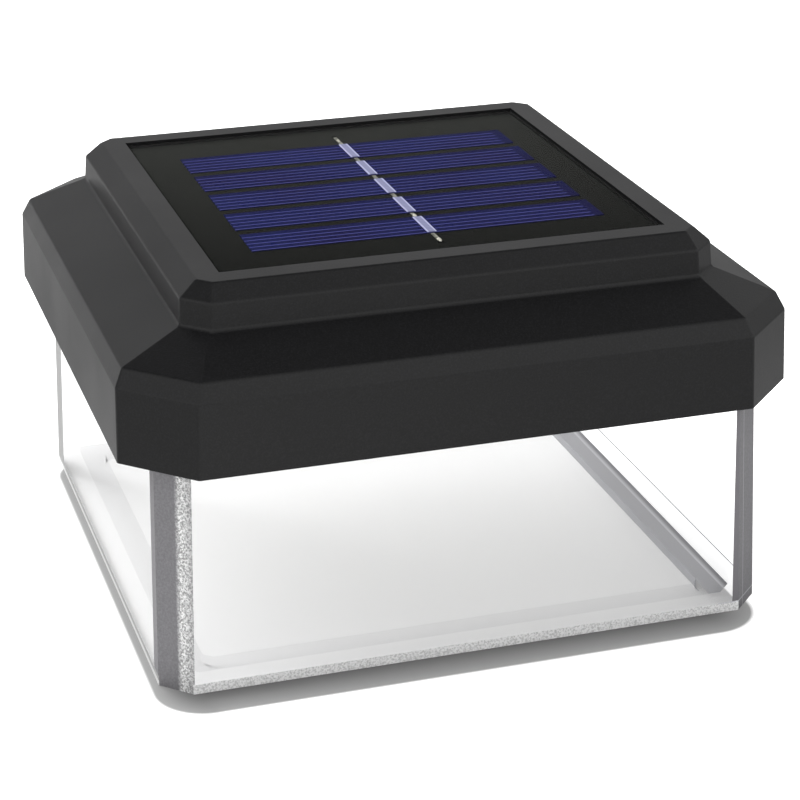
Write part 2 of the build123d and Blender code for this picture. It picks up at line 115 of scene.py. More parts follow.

# The painted contact shadow: darkest at the foot, paler outwards, and gone at its reach. Distances
# are taken from a square with round corners that stands a little to the front and left of the light.
from_x = put(tree, "Math", {0: at.outputs["X"], 1: -shadow_centre[0]}, operation="ADD")
from_x = put(tree, "Math", {0: from_x.outputs[0]}, operation="ABSOLUTE")
from_y = put(tree, "Math", {0: at.outputs["Y"], 1: -shadow_centre[1]}, operation="ADD")
from_y = put(tree, "Math", {0: from_y.outputs[0]}, operation="ABSOLUTE")
past = put(tree, "CombineXYZ", {"X": from_x.outputs[0], "Y": from_y.outputs[0]})
past = put(tree, "VectorMath", {0: past.outputs[0], 1: shadow_half}, operation="SUBTRACT")
past = put(tree, "VectorMath", {0: past.outputs[0], 1: (0, 0, 0)}, operation="MAXIMUM")
gap = put(tree, "VectorMath", {0: past.outputs[0]}, operation="LENGTH")
gap = put(tree, "MapRange", {"Value": gap.outputs["Value"], "From Min": 0.0, "From Max": shadow_reach})
painted_contact_shadow = put(tree, "ValToRGB", {"Fac": gap.outputs[0]})
painted_contact_shadow.color_ramp.elements[0].position = 0.15
painted_contact_shadow.color_ramp.elements[0].color = (0.09, 0.09, 0.09, 1)
painted_contact_shadow.color_ramp.elements[1].position = 0.86
painted_contact_shadow.color_ramp.elements[1].color = (1, 1, 1, 1)
painted_contact_shadow.color_ramp.elements.new(0.78).color = (0.25, 0.25, 0.25, 1)

# No painted shadow under the lens itself, whose foot is a square with cut corners.
wide = put(tree, "Math", {0: at.outputs["X"]}, operation="ABSOLUTE")
long = put(tree, "Math", {0: at.outputs["Y"]}, operation="ABSOLUTE")
cut = put(tree, "Math", {0: wide.outputs[0], 1: long.outputs[0]}, operation="ADD")
cut = put(tree, "Math", {0: cut.outputs[0], 1: foot_corner}, operation="LESS_THAN")
wide = put(tree, "Math", {0: wide.outputs[0], 1: long.outputs[0]}, operation="MAXIMUM")
inside = put(tree, "Math", {0: wide.outputs[0], 1: foot_half}, operation="LESS_THAN")
inside = put(tree, "Math", {0: inside.outputs[0], 1: cut.outputs[0]}, operation="MULTIPLY")
shade = put(tree, "MixRGB", {0: inside.outputs[0], 1: painted_contact_shadow.outputs[0], 2: (1, 1, 1, 1)})

# Painted shade in what the cap mirrors: for glossy rays the paper is drawn darker behind, to the
# right, and in front on the left.
seen = put(tree, "LightPath")
far = put(tree, "MapRange", {"Value": at.outputs["Y"], "From Min": -0.14, "From Max": 0.10,
                             "To Min": 0.0, "To Max": 0.64})
near = put(tree, "Math", {0: 1.0, 1: far.outputs[0]}, operation="SUBTRACT")
east = put(tree, "MapRange", {"Value": at.outputs["X"], "From Min": 0.03, "From Max": 0.15,
                              "To Min": 1.0, "To Max": 0.70})
west = put(tree, "MapRange", {"Value": at.outputs["X"], "From Min": -0.13, "From Max": -0.05,
                              "To Min": 0.70, "To Max": 1.0})
ahead = put(tree, "MapRange", {"Value": at.outputs["Y"], "From Min": -0.08, "From Max": 0.0})
west = put(tree, "Math", {0: west.outputs[0], 1: ahead.outputs[0]}, operation="MAXIMUM")
kept = put(tree, "Math", {0: near.outputs[0], 1: east.outputs[0]}, operation="MULTIPLY")
kept = put(tree, "Math", {0: kept.outputs[0], 1: west.outputs[0]}, operation="MULTIPLY")
kept = put(tree, "Math", {0: 1.0, 1: kept.outputs[0]}, operation="SUBTRACT")
dim = put(tree, "Math", {0: seen.outputs["Is Glossy Ray"], 1: kept.outputs[0]}, operation="MULTIPLY")
dim = put(tree, "Math", {0: 1.0, 1: dim.outputs[0]}, operation="SUBTRACT")
tint = put(tree, "VectorMath", {0: shade.outputs[0], "Scale": dim.outputs[0]}, operation="SCALE")
tint = put(tree, "VectorMath", {0: tint.outputs[0], "Scale": 0.8}, operation="SCALE")
paper = put(tree, "BsdfDiffuse", {"Color": tint.outputs[0]})

# Painted light: seen straight or through the lens, the paper glows white. Inside the lens it glows
# less, a patch of painted shade, but under the right wall it glows fully.
direct = put(tree, "Math", {0: seen.outputs["Is Camera Ray"], 1: seen.outputs["Is Transmission Ray"]},
             operation="MAXIMUM")
clear_of_wall = put(tree, "Math", {0: at.outputs["X"], 1: right_wall_inside}, operation="LESS_THAN")
lift = put(tree, "Math", {0: inside.outputs[0], 1: clear_of_wall.outputs[0]}, operation="MULTIPLY")
lift = put(tree, "MapRange", {"Value": lift.outputs[0], "To Min": 0.75, "To Max": 0.24})
lift = put(tree, "Math", {0: direct.outputs[0], 1: lift.outputs[0]}, operation="MULTIPLY")
glow = put(tree, "Emission", {"Color": shade.outputs[0], "Strength": lift.outputs[0]})
both = put(tree, "AddShader", {0: paper.outputs[0], 1: glow.outputs[0]})
tree.links.new(both.outputs[0], out.inputs["Surface"])
floor.data.materials.append(paper_white)

# ---------------------------------------------------------------- studio light
# A bright room on the viewer's side and a dimmer one behind, a soft lamp almost overhead, and a
# low lamp behind on the left that shines in through the lens. Each lamp has place, size and watts.
world = bpy.data.worlds.new("studio")
scene.world = world
world.use_nodes = True
tree = world.node_tree
tree.nodes.clear()
out = put(tree, "OutputWorld")
where = put(tree, "TexCoord")
aim = put(tree, "SeparateXYZ", {"Vector": where.outputs["Generated"]})
bright_wall = put(tree, "ValToRGB", {"Fac": aim.outputs["Z"]})
bright_wall.color_ramp.elements[0].position = 0.45
bright_wall.color_ramp.elements[0].color = (1.1, 1.1, 1.1, 1)
bright_wall.color_ramp.elements[1].position = 0.95
bright_wall.color_ramp.elements[1].color = (0.60, 0.60, 0.60, 1)
dim_wall = put(tree, "ValToRGB", {"Fac": aim.outputs["Z"]})
dim_wall.color_ramp.elements[0].position = 0.0
dim_wall.color_ramp.elements[0].color = (0.42, 0.42, 0.42, 1)
dim_wall.color_ramp.elements[1].position = 0.95
dim_wall.color_ramp.elements[1].color = (0.14, 0.14, 0.14, 1)
dim_wall.color_ramp.elements.new(0.36).color = (0.44, 0.44, 0.44, 1)
dim_wall.color_ramp.elements.new(0.47).color = (0.62, 0.62, 0.62, 1)
dim_wall.color_ramp.elements.new(0.70).color = (0.16, 0.16, 0.16, 1)
facing = put(tree, "MapRange", {"Value": aim.outputs["Y"], "From Min": -0.2, "From Max": 0.25})
walls = put(tree, "MixRGB", {0: facing.outputs[0], 1: bright_wall.outputs[0], 2: dim_wall.outputs[0]})
room = put(tree, "Background", {"Color": walls.outputs[0], "Strength": 1.0})
white = put(tree, "Background", {"Color": (1, 1, 1, 1), "Strength": 1.0})
seen = put(tree, "LightPath")
direct = put(tree, "Math", {0: seen.outputs["Is Camera Ray"], 1: seen.outputs["Is Transmission Ray"]},
             operation="MAXIMUM")
mix = put(tree, "MixShader", {0: direct.outputs[0], 1: room.outputs[0], 2: white.outputs[0]})
tree.links.new(mix.outputs[0], out.inputs["Surface"])

overhead = ((-0.15, 0.10, 1.15), 0.6, 6.5)
low_behind = ((-0.34, 0.68, 0.41), 0.5, 9.0)
for place, size, power in (overhead, low_behind):
    bpy.ops.object.light_add(type="AREA", location=place)
    lamp = bpy.context.object
    lamp.data.shape = "DISK"
    lamp.data.size = size
    lamp.data.energy = power
    lamp.visible_glossy = False
    lamp.rotation_euler = (Vector((0, 0, 0.02)) - lamp.location).to_track_quat("-Z", "Y").to_euler()


# ---------------------------------------------------------------- cap
# The black hood is injection-moulded ABS. Its mould was spark-eroded, so the faces carry a fine
# even grain that sparkles where they mirror something bright, and look smooth where they don't.
# The real pits are about 0.1 mm wide. They are drawn coarser, so that they show.
def dress(names, material):
    """Puts one material on CAD pieces, in place of the plain packed one."""
    for name in names:
        for slot in nodes[name].material_slots:
            slot.material = material


spark_grain = 0.00028
abs_black, tree, out = new_material("black_abs_spark_eroded")
where = put(tree, "TexCoord")
pits = put(tree, "TexNoise", {"Vector": where.outputs["Object"], "Scale": 1 / spark_grain,
                              "Detail": 2.0, "Roughness": 0.6})
tone = put(tree, "ValToRGB", {"Fac": pits.outputs["Fac"]})
tone.color_ramp.elements[0].position = 0.45
tone.color_ramp.elements[0].color = linear("#0d0d0e")
tone.color_ramp.elements[1].position = 0.85
tone.color_ramp.elements[1].color = linear("#1c1c1e")
cloud = put(tree, "TexNoise", {"Vector": where.outputs["Object"], "Scale": 45.0, "Detail": 3.0})
rough = put(tree, "MapRange", {"Value": cloud.outputs["Fac"], "From Min": 0.3, "From Max": 0.7,
                               "To Min": 0.30, "To Max": 0.36})
bump = put(tree, "Bump", {"Height": pits.outputs["Fac"], "Strength": 0.45, "Distance": 0.00006})
skin = put(tree, "BsdfPrincipled", {"Base Color": tone.outputs[0], "Roughness": rough.outputs[0],
                                    "IOR": 1.4, "Normal": bump.outputs[0]})
tree.links.new(skin.outputs[0], out.inputs["Surface"])
dress(["cap_shell"], abs_black)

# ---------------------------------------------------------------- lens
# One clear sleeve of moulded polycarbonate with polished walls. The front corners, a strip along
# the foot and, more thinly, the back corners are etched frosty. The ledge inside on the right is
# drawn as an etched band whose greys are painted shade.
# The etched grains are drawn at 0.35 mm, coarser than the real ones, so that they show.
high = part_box("lens_sleeve")[1]
corner_sum = 0.0950
corner_lean = 0.0026 / high.z
wall_lean = 0.0013 / high.z
lip_top = 0.0016
lip_inside = 0.0418
lip_wall = 0.0462
margin_front = 0.0030
margin_back = 0.0060
margin_right = 0.0441
margin_lean = 0.013
highlight_line_place = 0.0018
highlight_line_half = 0.00014
near_face = 0.0001
pebble = 0.00035
clear, tree, out = new_material("clear_polycarbonate_moulded")
where = put(tree, "TexCoord")
at = put(tree, "SeparateXYZ", {"Vector": where.outputs["Object"]})

# Masks for the cut corners, the outer faces of the walls and the strip along their foot.
wide = put(tree, "Math", {0: at.outputs["X"]}, operation="ABSOLUTE")
deep = put(tree, "Math", {0: at.outputs["Y"]}, operation="ABSOLUTE")
reach = put(tree, "Math", {0: wide.outputs[0], 1: deep.outputs[0]}, operation="ADD")
reach = put(tree, "Math", {0: at.outputs["Z"], 1: corner_lean, 2: reach.outputs[0]},
            operation="MULTIPLY_ADD")
ahead = put(tree, "Math", {0: at.outputs["Y"], 1: 0.0}, operation="LESS_THAN")
leftward = put(tree, "Math", {0: at.outputs["X"], 1: 0.0}, operation="LESS_THAN")
corner = put(tree, "Math", {0: reach.outputs[0], 1: corner_sum - near_face}, operation="GREATER_THAN")
behind = put(tree, "Math", {0: 1.0, 1: ahead.outputs[0]}, operation="SUBTRACT")
behind = put(tree, "Math", {0: corner.outputs[0], 1: behind.outputs[0]}, operation="MULTIPLY")
corner = put(tree, "Math", {0: corner.outputs[0], 1: ahead.outputs[0]}, operation="MULTIPLY")
out_x = put(tree, "Math", {0: at.outputs["Z"], 1: wall_lean, 2: wide.outputs[0]}, operation="MULTIPLY_ADD")
out_x = put(tree, "Math", {0: out_x.outputs[0], 1: high.x - near_face}, operation="GREATER_THAN")
out_y = put(tree, "Math", {0: at.outputs["Z"], 1: wall_lean, 2: deep.outputs[0]}, operation="MULTIPLY_ADD")
out_y = put(tree, "Math", {0: out_y.outputs[0], 1: high.x - near_face}, operation="GREATER_THAN")
left_wall = put(tree, "Math", {0: out_x.outputs[0], 1: leftward.outputs[0]}, operation="MULTIPLY")
front_wall = put(tree, "Math", {0: out_y.outputs[0], 1: ahead.outputs[0]}, operation="MULTIPLY")
low_part = put(tree, "Math", {0: at.outputs["Z"], 1: lip_top}, operation="LESS_THAN")
front_foot = put(tree, "Math", {0: low_part.outputs[0], 1: front_wall.outputs[0]}, operation="MULTIPLY")
left_foot = put(tree, "Math", {0: low_part.outputs[0], 1: left_wall.outputs[0]}, operation="MULTIPLY")

# Narrow etched margins beside the front corners, and a wider one at the back of the left wall.
edge_from = put(tree, "MapRange", {"Value": at.outputs["Y"], "From Min": 0.0, "From Max": 0.001,
                                   "To Min": corner_sum - margin_front, "To Max": corner_sum - margin_back})
left_edge = put(tree, "Math", {0: reach.outputs[0], 1: edge_from.outputs[0]}, operation="GREATER_THAN")
left_edge = put(tree, "Math", {0: left_edge.outputs[0], 1: left_wall.outputs[0]}, operation="MULTIPLY")
right_edge = put(tree, "Math", {0: at.outputs["Z"], 1: margin_lean, 2: at.outputs["X"]},
                 operation="MULTIPLY_ADD")
right_edge = put(tree, "Math", {0: right_edge.outputs[0], 1: margin_right}, operation="GREATER_THAN")
right_edge = put(tree, "Math", {0: right_edge.outputs[0], 1: front_wall.outputs[0]}, operation="MULTIPLY")

# The ledge inside on the right: the lip's top face and the small riser at its inner edge.
ledge = put(tree, "Math", {0: at.outputs["Z"], 1: lip_top}, operation="SUBTRACT")
ledge = put(tree, "Math", {0: ledge.outputs[0]}, operation="ABSOLUTE")
ledge = put(tree, "Math", {0: ledge.outputs[0], 1: near_face}, operation="LESS_THAN")
beside = put(tree, "Math", {0: at.outputs["X"], 1: lip_inside - 2 * near_face}, operation="GREATER_THAN")
ledge = put(tree, "Math", {0: ledge.outputs[0], 1: beside.outputs[0]}, operation="MULTIPLY")
riser = put(tree, "Math", {0: at.outputs["X"], 1: lip_inside}, operation="SUBTRACT")
riser = put(tree, "Math", {0: riser.outputs[0]}, operation="ABSOLUTE")
riser = put(tree, "Math", {0: riser.outputs[0], 1: near_face}, operation="LESS_THAN")
riser = put(tree, "Math", {0: riser.outputs[0], 1: low_part.outputs[0]}, operation="MULTIPLY")
between = put(tree, "Math", {0: deep.outputs[0], 1: lip_inside - near_face}, operation="LESS_THAN")
riser = put(tree, "Math", {0: riser.outputs[0], 1: between.outputs[0]}, operation="MULTIPLY")
ledge = put(tree, "Math", {0: ledge.outputs[0], 1: riser.outputs[0]}, operation="MAXIMUM")

# Grains of the etched strips: bright grains on the front foot. On the near half of the left front
# corner the grain carries a painted glint; on its other half, on the left wall's front margin and
# on the right front corner the same grain is drawn as an even grey of painted shade.
grains = put(tree, "TexNoise", {"Vector": where.outputs["Object"], "Scale": 1 / pebble, "Detail": 2.0,
                                "Roughness": 0.7})
foot_tone = put(tree, "ValToRGB", {"Fac": grains.outputs["Fac"]})
foot_tone.color_ramp.elements[0].position = 0.38
foot_tone.color_ramp.elements[0].color = linear("#d2d2d2")
foot_tone.color_ramp.elements[1].position = 0.58
foot_tone.color_ramp.elements[1].color = linear("#ffffff")
painted_glint_grain_tone = put(tree, "ValToRGB", {"Fac": grains.outputs["Fac"]})
painted_glint_grain_tone.color_ramp.elements[0].position = 0.40
painted_glint_grain_tone.color_ramp.elements[0].color = linear("#9a9a9a")
painted_glint_grain_tone.color_ramp.elements[1].position = 0.60
painted_glint_grain_tone.color_ramp.elements[1].color = linear("#f8f8f8")
shaded_grain_tone = put(tree, "ValToRGB", {"Fac": grains.outputs["Fac"]})
shaded_grain_tone.color_ramp.elements[0].position = 0.35
shaded_grain_tone.color_ramp.elements[0].color = linear("#78777a")
shaded_grain_tone.color_ramp.elements[1].position = 0.72
shaded_grain_tone.color_ramp.elements[1].color = linear("#88878a")
along = put(tree, "Math", {0: deep.outputs[0], 1: wide.outputs[0]}, operation="SUBTRACT")
glint_mask = put(tree, "MapRange", {"Value": along.outputs[0], "From Min": 0.0004, "From Max": 0.0016})
glint_fade = put(tree, "MapRange", {"Value": along.outputs[0], "From Min": 0.0024, "From Max": 0.0046,
                              "To Min": 1.0, "To Max": 0.55})
glint_mask = put(tree, "Math", {0: glint_mask.outputs[0], 1: glint_fade.outputs[0]}, operation="MULTIPLY")
glint_mask = put(tree, "Math", {0: glint_mask.outputs[0], 1: leftward.outputs[0]}, operation="MULTIPLY")

# A painted highlight line down the right front corner, and the ledge's bands: greys of painted shade
# with a painted highlight line, drawn paler towards the front and darker towards the back.
rightward = put(tree, "Math", {0: 1.0, 1: leftward.outputs[0]}, operation="SUBTRACT")
painted_highlight_line = put(tree, "Math", {0: along.outputs[0], 1: highlight_line_place}, operation="SUBTRACT")
painted_highlight_line = put(tree, "Math", {0: painted_highlight_line.outputs[0]}, operation="ABSOLUTE")
painted_highlight_line = put(tree, "Math", {0: painted_highlight_line.outputs[0], 1: highlight_line_half}, operation="LESS_THAN")
painted_highlight_line = put(tree, "Math", {0: painted_highlight_line.outputs[0], 1: rightward.outputs[0]}, operation="MULTIPLY")
painted_highlight_line = put(tree, "Math", {0: painted_highlight_line.outputs[0], 1: corner.outputs[0]}, operation="MULTIPLY")
bands = put(tree, "MapRange", {"Value": at.outputs["X"], "From Min": lip_inside, "From Max": lip_wall})
ledge_shade_tone = put(tree, "ValToRGB", {"Fac": bands.outputs[0]})
ledge_shade_tone.color_ramp.elements[0].position = 0.62
ledge_shade_tone.color_ramp.elements[0].color = linear("#bcbcc0")
ledge_shade_tone.color_ramp.elements[1].position = 0.86
ledge_shade_tone.color_ramp.elements[1].color = linear("#9c9ca0")
ledge_shade_tone.color_ramp.elements.new(0.68).color = linear("#dcdce0")
ledge_shade_tone.color_ramp.elements.new(0.78).color = linear("#bcbcc0")
# Painted shade: the ledge is drawn paler towards the front and darker towards the back.
ledge_fade = put(tree, "MapRange", {"Value": at.outputs["Y"], "From Min": -0.042, "From Max": 0.042,
                               "To Min": 1.36, "To Max": 0.74})
ledge_shade_tone = put(tree, "VectorMath", {0: ledge_shade_tone.outputs[0], "Scale": ledge_fade.outputs[0]},
                 operation="SCALE")
# Along the left foot the lower half is drawn pale, a painted highlight line under the grey of the etched
# strip.
lower = put(tree, "Math", {0: at.outputs["Z"], 1: lip_top / 2}, operation="LESS_THAN")
left_foot_highlight_tone = put(tree, "MixRGB", {0: lower.outputs[0], 1: linear("#a4a4a4"), 2: linear("#dedede")})
back_half = put(tree, "Math", {0: at.outputs["Y"], 1: 0.0}, operation="GREATER_THAN")
edge_tone = put(tree, "MixRGB", {0: back_half.outputs[0], 1: shaded_grain_tone.outputs[0], 2: linear("#a2a2a2")})

# One colour from all of them, and where the frost lies.
tone = put(tree, "MixRGB", {0: glint_mask.outputs[0], 1: shaded_grain_tone.outputs[0], 2: painted_glint_grain_tone.outputs[0]})
# The darker grey of the right front margin is painted shade.
tone = put(tree, "MixRGB", {0: right_edge.outputs[0], 1: tone.outputs[0], 2: linear("#7e7c80")})
tone = put(tree, "MixRGB", {0: behind.outputs[0], 1: tone.outputs[0], 2: linear("#cfcfd0")})
tone = put(tree, "MixRGB", {0: front_foot.outputs[0], 1: tone.outputs[0], 2: foot_tone.outputs[0]})
tone = put(tree, "MixRGB", {0: painted_highlight_line.outputs[0], 1: tone.outputs[0], 2: linear("#a9a9ab")})
tone = put(tree, "MixRGB", {0: left_edge.outputs[0], 1: tone.outputs[0], 2: edge_tone.outputs[0]})
tone = put(tree, "MixRGB", {0: left_foot.outputs[0], 1: tone.outputs[0], 2: left_foot_highlight_tone.outputs[0]})
tone = put(tree, "MixRGB", {0: ledge.outputs[0], 1: tone.outputs[0], 2: ledge_shade_tone.outputs[0]})
frost = put(tree, "Math", {0: front_foot.outputs[0], 1: left_foot.outputs[0]}, operation="MAXIMUM")
for part in (left_edge, right_edge, corner, ledge):
    frost = put(tree, "Math", {0: frost.outputs[0], 1: part.outputs[0]}, operation="MAXIMUM")
faces_out = put(tree, "NewGeometry")
front = put(tree, "Math", {0: 1.0, 1: faces_out.outputs["Backfacing"]}, operation="SUBTRACT")
thin_frost = put(tree, "Math", {0: behind.outputs[0], 1: 0.65}, operation="MULTIPLY")
thin_frost = put(tree, "Math", {0: thin_frost.outputs[0], 1: front.outputs[0]}, operation="MULTIPLY")
frost = put(tree, "Math", {0: frost.outputs[0], 1: thin_frost.outputs[0]}, operation="MAXIMUM")
etched = put(tree, "BsdfPrincipled", {"Base Color": tone.outputs[0], "Roughness": 0.5, "IOR": 1.3})

# The polished walls let light straight through and mirror only on their outer faces.
gloss = put(tree, "Fresnel", {"IOR": 1.45})
gloss = put(tree, "Math", {0: gloss.outputs[0], 1: front.outputs[0]}, operation="MULTIPLY")
above = put(tree, "MapRange", {"Value": at.outputs["Z"], "From Min": lip_top + near_face, "From Max": 0.0020,
                               "To Min": 0.0, "To Max": 0.55})
gloss = put(tree, "Math", {0: gloss.outputs[0], 1: above.outputs[0]}, operation="MULTIPLY")
outer = put(tree, "Math", {0: out_x.outputs[0], 1: out_y.outputs[0]}, operation="MAXIMUM")
gloss = put(tree, "Math", {0: gloss.outputs[0], 1: outer.outputs[0]}, operation="MULTIPLY")
through = put(tree, "BsdfTransparent", {"Color": (0.972, 0.972, 0.973, 1)})
mirror = put(tree, "BsdfGlossy", {"Color": (1, 1, 1, 1), "Roughness": 0.03})
polished = put(tree, "MixShader", {0: gloss.outputs[0], 1: through.outputs[0], 2: mirror.outputs[0]})
mix = put(tree, "MixShader", {0: frost.outputs[0], 1: polished.outputs[0], 2: etched.outputs[0]})
tree.links.new(mix.outputs[0], out.inputs["Surface"])
dress(["lens_sleeve"], clear)

# ---------------------------------------------------------------- solar board
# Black glass-fibre board with a satin solder mask, stuck into the recess of the hood. The glass
# weave shows through as faint clouds. The mask is drawn darker towards the front, painted shade of
# the recess rim, and paler towards the back edge.
weave_cloud = 0.0025
board_half = 0.034
mask_black, tree, out = new_material("black_solder_mask_satin")
where = put(tree, "TexCoord")
weave = put(tree, "TexNoise", {"Vector": where.outputs["Object"], "Scale": 1 / weave_cloud, "Detail": 2.0})
tone = put(tree, "ValToRGB", {"Fac": weave.outputs["Fac"]})
tone.color_ramp.elements[0].color = linear("#1a1b19")
tone.color_ramp.elements[1].color = linear("#20211f")
at = put(tree, "SeparateXYZ", {"Vector": where.outputs["Object"]})
recess_shade = put(tree, "MapRange", {"Value": at.outputs["Y"], "From Min": -board_half, "From Max": board_half,
                                "To Min": 0.55, "To Max": 1.45})
tone = put(tree, "VectorMath", {0: tone.outputs[0], "Scale": recess_shade.outputs[0]}, operation="SCALE")
skin = put(tree, "BsdfPrincipled", {"Base Color": tone.outputs[0], "Roughness": 0.6, "IOR": 1.02})
tree.links.new(skin.outputs[0], out.inputs["Surface"])
dress(["solar_board"], mask_black)

# ---------------------------------------------------------------- solar cells
# Five strips of blue-coated silicon. Five thin printed silver fingers run along each strip and
# stop short of its right end.
cell_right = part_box("solar_cells")[1].x
strip_pitch = 0.01075
finger_pitch = 0.0016
finger_shift = 0.00075
finger_stop = 0.0016
last_finger = 2.5
silicon, tree, out = new_material("blue_nitride_silicon_polished")
where = put(tree, "TexCoord")
place = put(tree, "SeparateXYZ", {"Vector": where.outputs["Object"]})
strip = put(tree, "Math", {0: place.outputs["Y"], 1: strip_pitch}, operation="DIVIDE")
strip = put(tree, "Math", {0: strip.outputs[0]}, operation="ROUND")
strip = put(tree, "Math", {0: strip.outputs[0], 1: strip_pitch}, operation="MULTIPLY")
across = put(tree, "Math", {0: place.outputs["Y"], 1: strip.outputs[0]}, operation="SUBTRACT")
across = put(tree, "Math", {0: across.outputs[0], 1: finger_shift}, operation="ADD")
count = put(tree, "Math", {0: across.outputs[0], 1: finger_pitch}, operation="DIVIDE")
nearest = put(tree, "Math", {0: count.outputs[0]}, operation="ROUND")
off = put(tree, "Math", {0: count.outputs[0], 1: nearest.outputs[0]}, operation="SUBTRACT")
off = put(tree, "Math", {0: off.outputs[0]}, operation="ABSOLUTE")
line = put(tree, "MapRange", {"Value": off.outputs[0], "From Min": 0.03, "From Max": 0.09,
                              "To Min": 1.0, "To Max": 0.0})
inner = put(tree, "Math", {0: nearest.outputs[0], 1: last_finger}, operation="LESS_THAN")
stop = put(tree, "Math", {0: place.outputs["X"], 1: cell_right - finger_stop}, operation="LESS_THAN")
line = put(tree, "Math", {0: line.outputs[0], 1: stop.outputs[0]}, operation="MULTIPLY")
line = put(tree, "Math", {0: line.outputs[0], 1: inner.outputs[0]}, operation="MULTIPLY")
coat = put(tree, "TexNoise", {"Vector": where.outputs["Object"], "Scale": 60.0, "Detail": 2.0})
blue = put(tree, "ValToRGB", {"Fac": coat.outputs["Fac"]})
blue.color_ramp.elements[0].position = 0.35
blue.color_ramp.elements[0].color = linear("#141336")
blue.color_ramp.elements[1].position = 0.65
blue.color_ramp.elements[1].color = linear("#151940")
tone = put(tree, "MixRGB", {0: line.outputs[0], 1: blue.outputs[0], 2: linear("#4d5092")})
skin = put(tree, "BsdfPrincipled", {"Base Color": tone.outputs[0], "Roughness": 0.5, "IOR": 1.02})
tree.links.new(skin.outputs[0], out.inputs["Surface"])
dress(["solar_cells"], silicon)

# ---------------------------------------------------------------- bus tabs
# Tinned copper tabs soldered down the middle of the strips, with a painted highlight along their
# rolled edges and fine cross marks, and thin ribbons between them.
tab_low, tab_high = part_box("bus_tabs")
tab_middle = (tab_low.x + tab_high.x) / 2
tab_flat_half = 0.00052
mark_pitch = 0.0008
tinned, tree, out = new_material("tinned_copper_rolled")
where = put(tree, "TexCoord")
place = put(tree, "SeparateXYZ", {"Vector": where.outputs["Object"]})
off = put(tree, "Math", {0: place.outputs["X"], 1: tab_middle}, operation="SUBTRACT")
off = put(tree, "Math", {0: off.outputs[0]}, operation="ABSOLUTE")
edge_highlight = put(tree, "Math", {0: off.outputs[0], 1: tab_flat_half}, operation="GREATER_THAN")
marks = put(tree, "Math", {0: place.outputs["Y"], 1: math.tau / mark_pitch}, operation="MULTIPLY")
marks = put(tree, "Math", {0: marks.outputs[0]}, operation="SINE")
tone = put(tree, "ValToRGB", {"Fac": marks.outputs[0]})
tone.color_ramp.elements[0].color = linear("#75789b")
tone.color_ramp.elements[1].color = linear("#8689a9")
tone = put(tree, "MixRGB", {0: edge_highlight.outputs[0], 1: tone.outputs[0], 2: linear("#b6b8da")})
skin = put(tree, "BsdfPrincipled", {"Base Color": tone.outputs[0], "Roughness": 0.4, "Metallic": 0.1})
tree.links.new(skin.outputs[0], out.inputs["Surface"])
dress(["bus_tabs"], tinned)


def finish(name, dark, light, grain, rough, metallic=0.0, ior=1.5):
    """Simple finish whose colour and relief vary with a grain of the given size in metres."""
    material, tree, out = new_material(name)
    where = put(tree, "TexCoord")
    flow = put(tree, "TexNoise", {"Vector": where.outputs["Object"], "Scale": 1 / grain, "Detail": 2.0})
    tone = put(tree, "ValToRGB", {"Fac": flow.outputs["Fac"]})
    tone.color_ramp.elements[0].position = 0.35
    tone.color_ramp.elements[0].color = linear(dark)
    tone.color_ramp.elements[1].position = 0.65
    tone.color_ramp.elements[1].color = linear(light)
    bump = put(tree, "Bump", {"Height": flow.outputs["Fac"], "Strength": 0.3, "Distance": grain * 0.1})
    skin = put(tree, "BsdfPrincipled", {"Base Color": tone.outputs[0], "Roughness": rough,
                                        "Metallic": metallic, "IOR": ior, "Normal": bump.outputs[0]})
    tree.links.new(skin.outputs[0], out.inputs["Surface"])
    return material


dress(["bus_ribbons"], finish("tinned_ribbon_dull", "#4b4c46", "#8d8d80", 0.0006, 0.5))

# ---------------------------------------------------------------- resin cover
# Clear resin cast over the cells, level and satin, with a soft edge at the sealant. Its matt
# face mirrors little of the room, so the board under it stays dark.
cover_low, cover_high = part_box("panel_cover")
above_tabs = 0.00005
resin_low = tab_high.z + above_tabs
bpy.ops.mesh.primitive_cube_add(size=1.0, location=(0, 0, (resin_low + cover_high.z) / 2))
resin = bpy.context.object
resin.name = "resin_cover"
resin.scale = (cover_high.x - cover_low.x, cover_high.y - cover_low.y, cover_high.z - resin_low)
bpy.ops.object.transform_apply(location=True, rotation=True, scale=True)
resin.modifiers.new("edge", "BEVEL").width = 0.0001
bpy.ops.object.modifier_apply(modifier="edge")
cast_clear, tree, out = new_material("clear_epoxy_cast")
where = put(tree, "TexCoord")
haze = put(tree, "TexNoise", {"Vector": where.outputs["Object"], "Scale": 60.0, "Detail": 1.0})
haze = put(tree, "MapRange", {"Value": haze.outputs["Fac"], "To Min": 0.18, "To Max": 0.24})
gloss = put(tree, "Fresnel", {"IOR": 1.04})
faces_out = put(tree, "NewGeometry")
front = put(tree, "Math", {0: 1.0, 1: faces_out.outputs["Backfacing"]}, operation="SUBTRACT")
gloss = put(tree, "Math", {0: gloss.outputs[0], 1: front.outputs[0]}, operation="MULTIPLY")
through = put(tree, "BsdfTransparent", {"Color": (0.98, 0.98, 0.98, 1)})
mirror = put(tree, "BsdfGlossy", {"Color": (1, 1, 1, 1), "Roughness": haze.outputs[0]})
mix = put(tree, "MixShader", {0: gloss.outputs[0], 1: through.outputs[0], 2: mirror.outputs[0]})
tree.links.new(mix.outputs[0], out.inputs["Surface"])
resin.data.materials.append(cast_clear)
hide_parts("panel_cover")
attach(resin, "housing")

